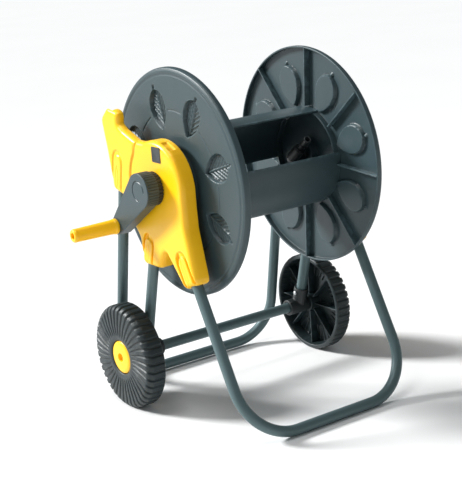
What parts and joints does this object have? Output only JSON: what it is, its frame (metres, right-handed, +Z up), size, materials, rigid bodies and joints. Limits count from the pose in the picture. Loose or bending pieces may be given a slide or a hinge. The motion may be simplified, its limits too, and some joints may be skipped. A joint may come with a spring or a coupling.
{
  "type": "garden hose reel cart",
  "caption": "Hand-cranked hose reel between moulded side panels on a bent steel tube frame, with a wheeled axle and a fold-down handle.",
  "frame": {"origin": "centre of the whole cart's bounding box, on the ground", "axes": "+Z up, X along the reel axis with the crank on the -X side, -Y towards the foot, +Y towards the wheels and the folded handle"},
  "size_m": [0.5508, 0.448, 0.6203],
  "materials": {
    "yellow_plastic": "smooth moulded, satin gloss",
    "reel_plastic": "fine moulded grain, satin",
    "black_plastic": "moulded, satin",
    "wheel_plastic": "moulded, matt",
    "tube_paint": "satin powder coat",
    "zinc_steel": "zinc plated",
    "bush_plastic": "natural acetal",
    "seal_rubber": "matt"
  },
  "bodies": {
    "frame": {"side_panel_inlet": "yellow_plastic", "side_panel_crank": "yellow_plastic", "foot_tube": "tube_paint", "wheel_leg_inlet": "tube_paint", "wheel_leg_crank": "tube_paint", "axle_crossbar": "tube_paint", "axle_fitting_inlet": "black_plastic", "axle_fitting_crank": "black_plastic", "axle_rod": "zinc_steel", "push_nut_inlet": "zinc_steel", "push_nut_crank": "zinc_steel", "bearing_bush_inlet": "bush_plastic", "bearing_bush_crank": "bush_plastic", "foot_screw_inlet": "zinc_steel", "foot_screw_crank": "zinc_steel", "leg_screw_inlet": "zinc_steel", "leg_screw_crank": "zinc_steel", "fitting_screw_inlet": "zinc_steel", "fitting_screw_crank": "zinc_steel", "handle_pin_inlet": "zinc_steel", "handle_pin_crank": "zinc_steel", "inlet_connector": "black_plastic", "inlet_screw_front": "zinc_steel", "inlet_screw_rear": "zinc_steel", "seal_ring_inner": "seal_rubber", "seal_ring_outer": "seal_rubber", "badge_plate": "black_plastic"},
    "handle": {"handle_tube": "tube_paint"},
    "reel": {"flange_inlet": "reel_plastic", "flange_crank": "reel_plastic", "drum_slat_upper": "reel_plastic", "drum_slat_lower": "reel_plastic", "drum_screw_upper_inlet": "zinc_steel", "drum_screw_upper_crank": "zinc_steel", "drum_screw_lower_inlet": "zinc_steel", "drum_screw_lower_crank": "zinc_steel", "crank_shaft": "black_plastic", "hub_screw": "zinc_steel", "water_shaft": "black_plastic", "outlet_elbow": "black_plastic", "crank_collar": "black_plastic", "crank_arm": "reel_plastic", "grip_spindle": "zinc_steel", "grip_ring": "zinc_steel"},
    "grip": {"crank_grip": "yellow_plastic"},
    "wheel_on_inlet_side": {"wheel_inlet": "wheel_plastic", "hub_cap_inlet": "yellow_plastic"},
    "wheel_on_crank_side": {"wheel_crank": "wheel_plastic", "hub_cap_crank": "yellow_plastic"}
  },
  "joints": [
    {"name": "reel_spin", "type": "hinge", "parent": "frame", "child": "reel", "pos_m": [0.03985, 0.00374, 0.4203], "axis": [1, 0, 0], "continuous": true},
    {"name": "grip_spin", "type": "hinge", "parent": "reel", "child": "grip", "pos_m": [-0.23015, 0.08794, 0.34554], "axis": [1, 0, 0], "continuous": true},
    {"name": "handle_fold", "type": "hinge", "parent": "frame", "child": "handle", "pos_m": [0.03985, 0.12534, 0.4603], "axis": [1, 0, 0], "range_deg": [0, 155]},
    {"name": "wheel_spin_inlet", "type": "hinge", "parent": "frame", "child": "wheel_on_inlet_side", "pos_m": [0.25585, 0.10644, 0.09625], "axis": [1, 0, 0], "continuous": true},
    {"name": "wheel_spin_crank", "type": "hinge", "parent": "frame", "child": "wheel_on_crank_side", "pos_m": [-0.17615, 0.10644, 0.09625], "axis": [1, 0, 0], "continuous": true}
  ]
}
